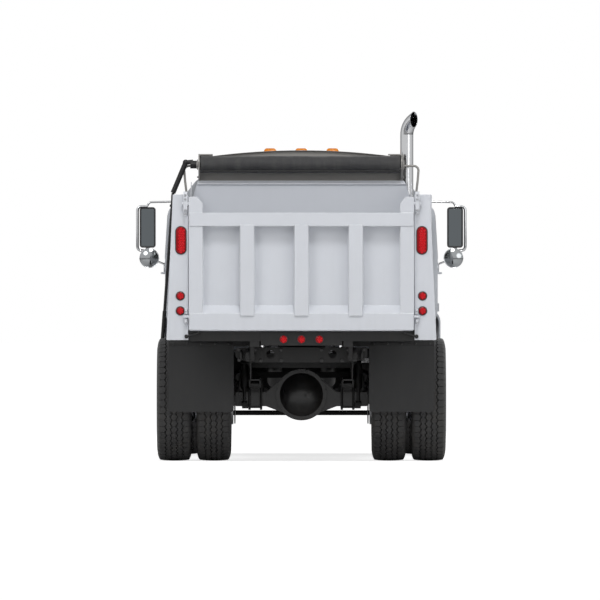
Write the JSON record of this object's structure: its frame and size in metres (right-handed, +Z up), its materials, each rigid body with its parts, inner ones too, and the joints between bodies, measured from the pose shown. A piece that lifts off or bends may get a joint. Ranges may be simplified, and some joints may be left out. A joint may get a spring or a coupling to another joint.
{
  "type": "dump truck",
  "caption": "Conventional single-axle dump truck with a hydraulic tipping steel bed, top-hinged tailgate, tilting hood and opening cab doors.",
  "frame": {"origin": "on the ground, midway between the bumper's face and the tailgate's rear face, on the truck's centre plane", "axes": "+Y forward to the nose, +X to the truck's right, +Z up"},
  "size_m": [2.906, 6.3, 3.0007],
  "materials": {
    "bed_paint": "satin grey enamel",
    "cab_paint": "gloss grey enamel",
    "frame_paint": "semi-gloss black enamel",
    "axle_iron": "black painted casting",
    "chrome": "polished chrome",
    "wheel_alloy": "polished",
    "bare_aluminium": "brushed",
    "rod_steel": "ground",
    "tyre": "matte black rubber",
    "rubber": "matte black rubber",
    "oak": "oiled",
    "tarp_mesh": "woven mesh, black",
    "glass": "clear, slightly green",
    "lamp_glass": "clear",
    "red_lens": "translucent red",
    "amber_lens": "translucent amber",
    "trim_black": "grained black",
    "seat_vinyl": "grained dark grey"
  },
  "bodies": {
    "chassis": {"frame_rail_left": "frame_paint", "frame_rail_right": "frame_paint", "crossmembers": "frame_paint", "sill_liners": "oak", "rear_plate": "frame_paint", "mud_flaps": "rubber", "flap_hangers": "frame_paint", "leaf_springs": "frame_paint", "shock_absorbers": "frame_paint", "rear_axle": "axle_iron", "front_axle": "axle_iron", "engine": "axle_iron", "radiator": "bare_aluminium", "driveshaft": "frame_paint", "fuel_tank": "bare_aluminium", "battery_box": "frame_paint", "air_tanks": "frame_paint", "exhaust_stack": "chrome", "front_bumper": "frame_paint", "cab": "cab_paint", "cab_glass": "glass", "cab_interior": "seat_vinyl", "roof_lamps": "amber_lens"},
    "knuckle_left": {"knuckle_left": "axle_iron"},
    "knuckle_right": {"knuckle_right": "axle_iron"},
    "tie_rod": {"tie_rod": "frame_paint"},
    "front_wheel_left": {"front_tyre_left": "tyre", "front_wheel_left": "wheel_alloy"},
    "front_wheel_right": {"front_tyre_right": "tyre", "front_wheel_right": "wheel_alloy"},
    "rear_wheel_left": {"rear_tyres_left": "tyre", "rear_wheels_left": "wheel_alloy"},
    "rear_wheel_right": {"rear_tyres_right": "tyre", "rear_wheels_right": "wheel_alloy"},
    "door_left": {"door_left": "cab_paint", "door_glass_left": "glass", "mirror_left": "trim_black"},
    "door_right": {"door_right": "cab_paint", "door_glass_right": "glass", "mirror_right": "trim_black"},
    "hood": {"hood": "cab_paint", "grille": "chrome", "headlamps": "lamp_glass"},
    "bed": {"bed_floor": "bed_paint", "bed_side_left": "bed_paint", "bed_side_right": "bed_paint", "bed_headboard": "bed_paint", "bed_underframe": "frame_paint", "rear_lamps": "red_lens", "tarp_roller": "tarp_mesh", "tarp_brackets": "bare_aluminium", "wind_deflector": "bare_aluminium", "tarp_crank": "frame_paint"},
    "tailgate": {"tailgate": "bed_paint"},
    "hoist_barrel": {"hoist_barrels": "frame_paint"},
    "hoist_rod": {"hoist_rods": "rod_steel"}
  },
  "joints": [
    {"name": "bed_tilt", "type": "hinge", "parent": "chassis", "child": "bed", "pos_m": [0, -2.905, 0.9], "axis": [1, 0, 0], "range_deg": [0, 50]},
    {"name": "tailgate_swing", "type": "hinge", "parent": "bed", "child": "tailgate", "pos_m": [0, -3.12, 2.17], "axis": [-1, 0, 0], "range_deg": [0, 65]},
    {"name": "steer_left", "type": "hinge", "parent": "chassis", "child": "knuckle_left", "pos_m": [-0.9, 2.2, 0.5225], "axis": [0, 0, 1], "range_deg": [-30, 30]},
    {"name": "steer_right", "type": "hinge", "parent": "chassis", "child": "knuckle_right", "pos_m": [0.9, 2.2, 0.5225], "axis": [0, 0, 1], "range_deg": [-30, 30]},
    {"name": "tie_rod_pivot", "type": "hinge", "parent": "knuckle_left", "child": "tie_rod", "pos_m": [-0.9, 2.01, 0.368], "axis": [0, 0, 1], "range_deg": [-30, 30]},
    {"name": "front_spin_left", "type": "hinge", "parent": "knuckle_left", "child": "front_wheel_left", "pos_m": [-1.03, 2.2, 0.5225], "axis": [1, 0, 0], "continuous": true},
    {"name": "front_spin_right", "type": "hinge", "parent": "knuckle_right", "child": "front_wheel_right", "pos_m": [1.03, 2.2, 0.5225], "axis": [1, 0, 0], "continuous": true},
    {"name": "rear_spin_left", "type": "hinge", "parent": "chassis", "child": "rear_wheel_left", "pos_m": [-0.91, -1.78, 0.5225], "axis": [1, 0, 0], "continuous": true},
    {"name": "rear_spin_right", "type": "hinge", "parent": "chassis", "child": "rear_wheel_right", "pos_m": [0.91, -1.78, 0.5225], "axis": [1, 0, 0], "continuous": true},
    {"name": "door_swing_left", "type": "hinge", "parent": "chassis", "child": "door_left", "pos_m": [-1.201, 1.49, 1.47], "axis": [0, 0, -1], "range_deg": [0, 65]},
    {"name": "door_swing_right", "type": "hinge", "parent": "chassis", "child": "door_right", "pos_m": [1.201, 1.49, 1.47], "axis": [0, 0, 1], "range_deg": [0, 65]},
    {"name": "hood_tilt", "type": "hinge", "parent": "chassis", "child": "hood", "pos_m": [0, 3.06, 0.8], "axis": [-1, 0, 0], "range_deg": [0, 60]},
    {"name": "hoist_swing", "type": "hinge", "parent": "chassis", "child": "hoist_barrel", "pos_m": [0, -0.155, 0.65], "axis": [1, 0, 0], "range_deg": [-18.8, 0]},
    {"name": "hoist_extend", "type": "slide", "parent": "hoist_barrel", "child": "hoist_rod", "axis": [0, -0.9817, 0.1902], "range_m": [0, 0.7364]}
  ],
  "couplings": [
    {"joint": "steer_right", "follows": "steer_left", "ratio": 1},
    {"joint": "tie_rod_pivot", "follows": "steer_left", "ratio": -1},
    {"joint": "hoist_swing", "follows": "bed_tilt", "ratio": -0.37318},
    {"joint": "hoist_extend", "follows": "bed_tilt", "m_per_rad": 0.8437}
  ]
}
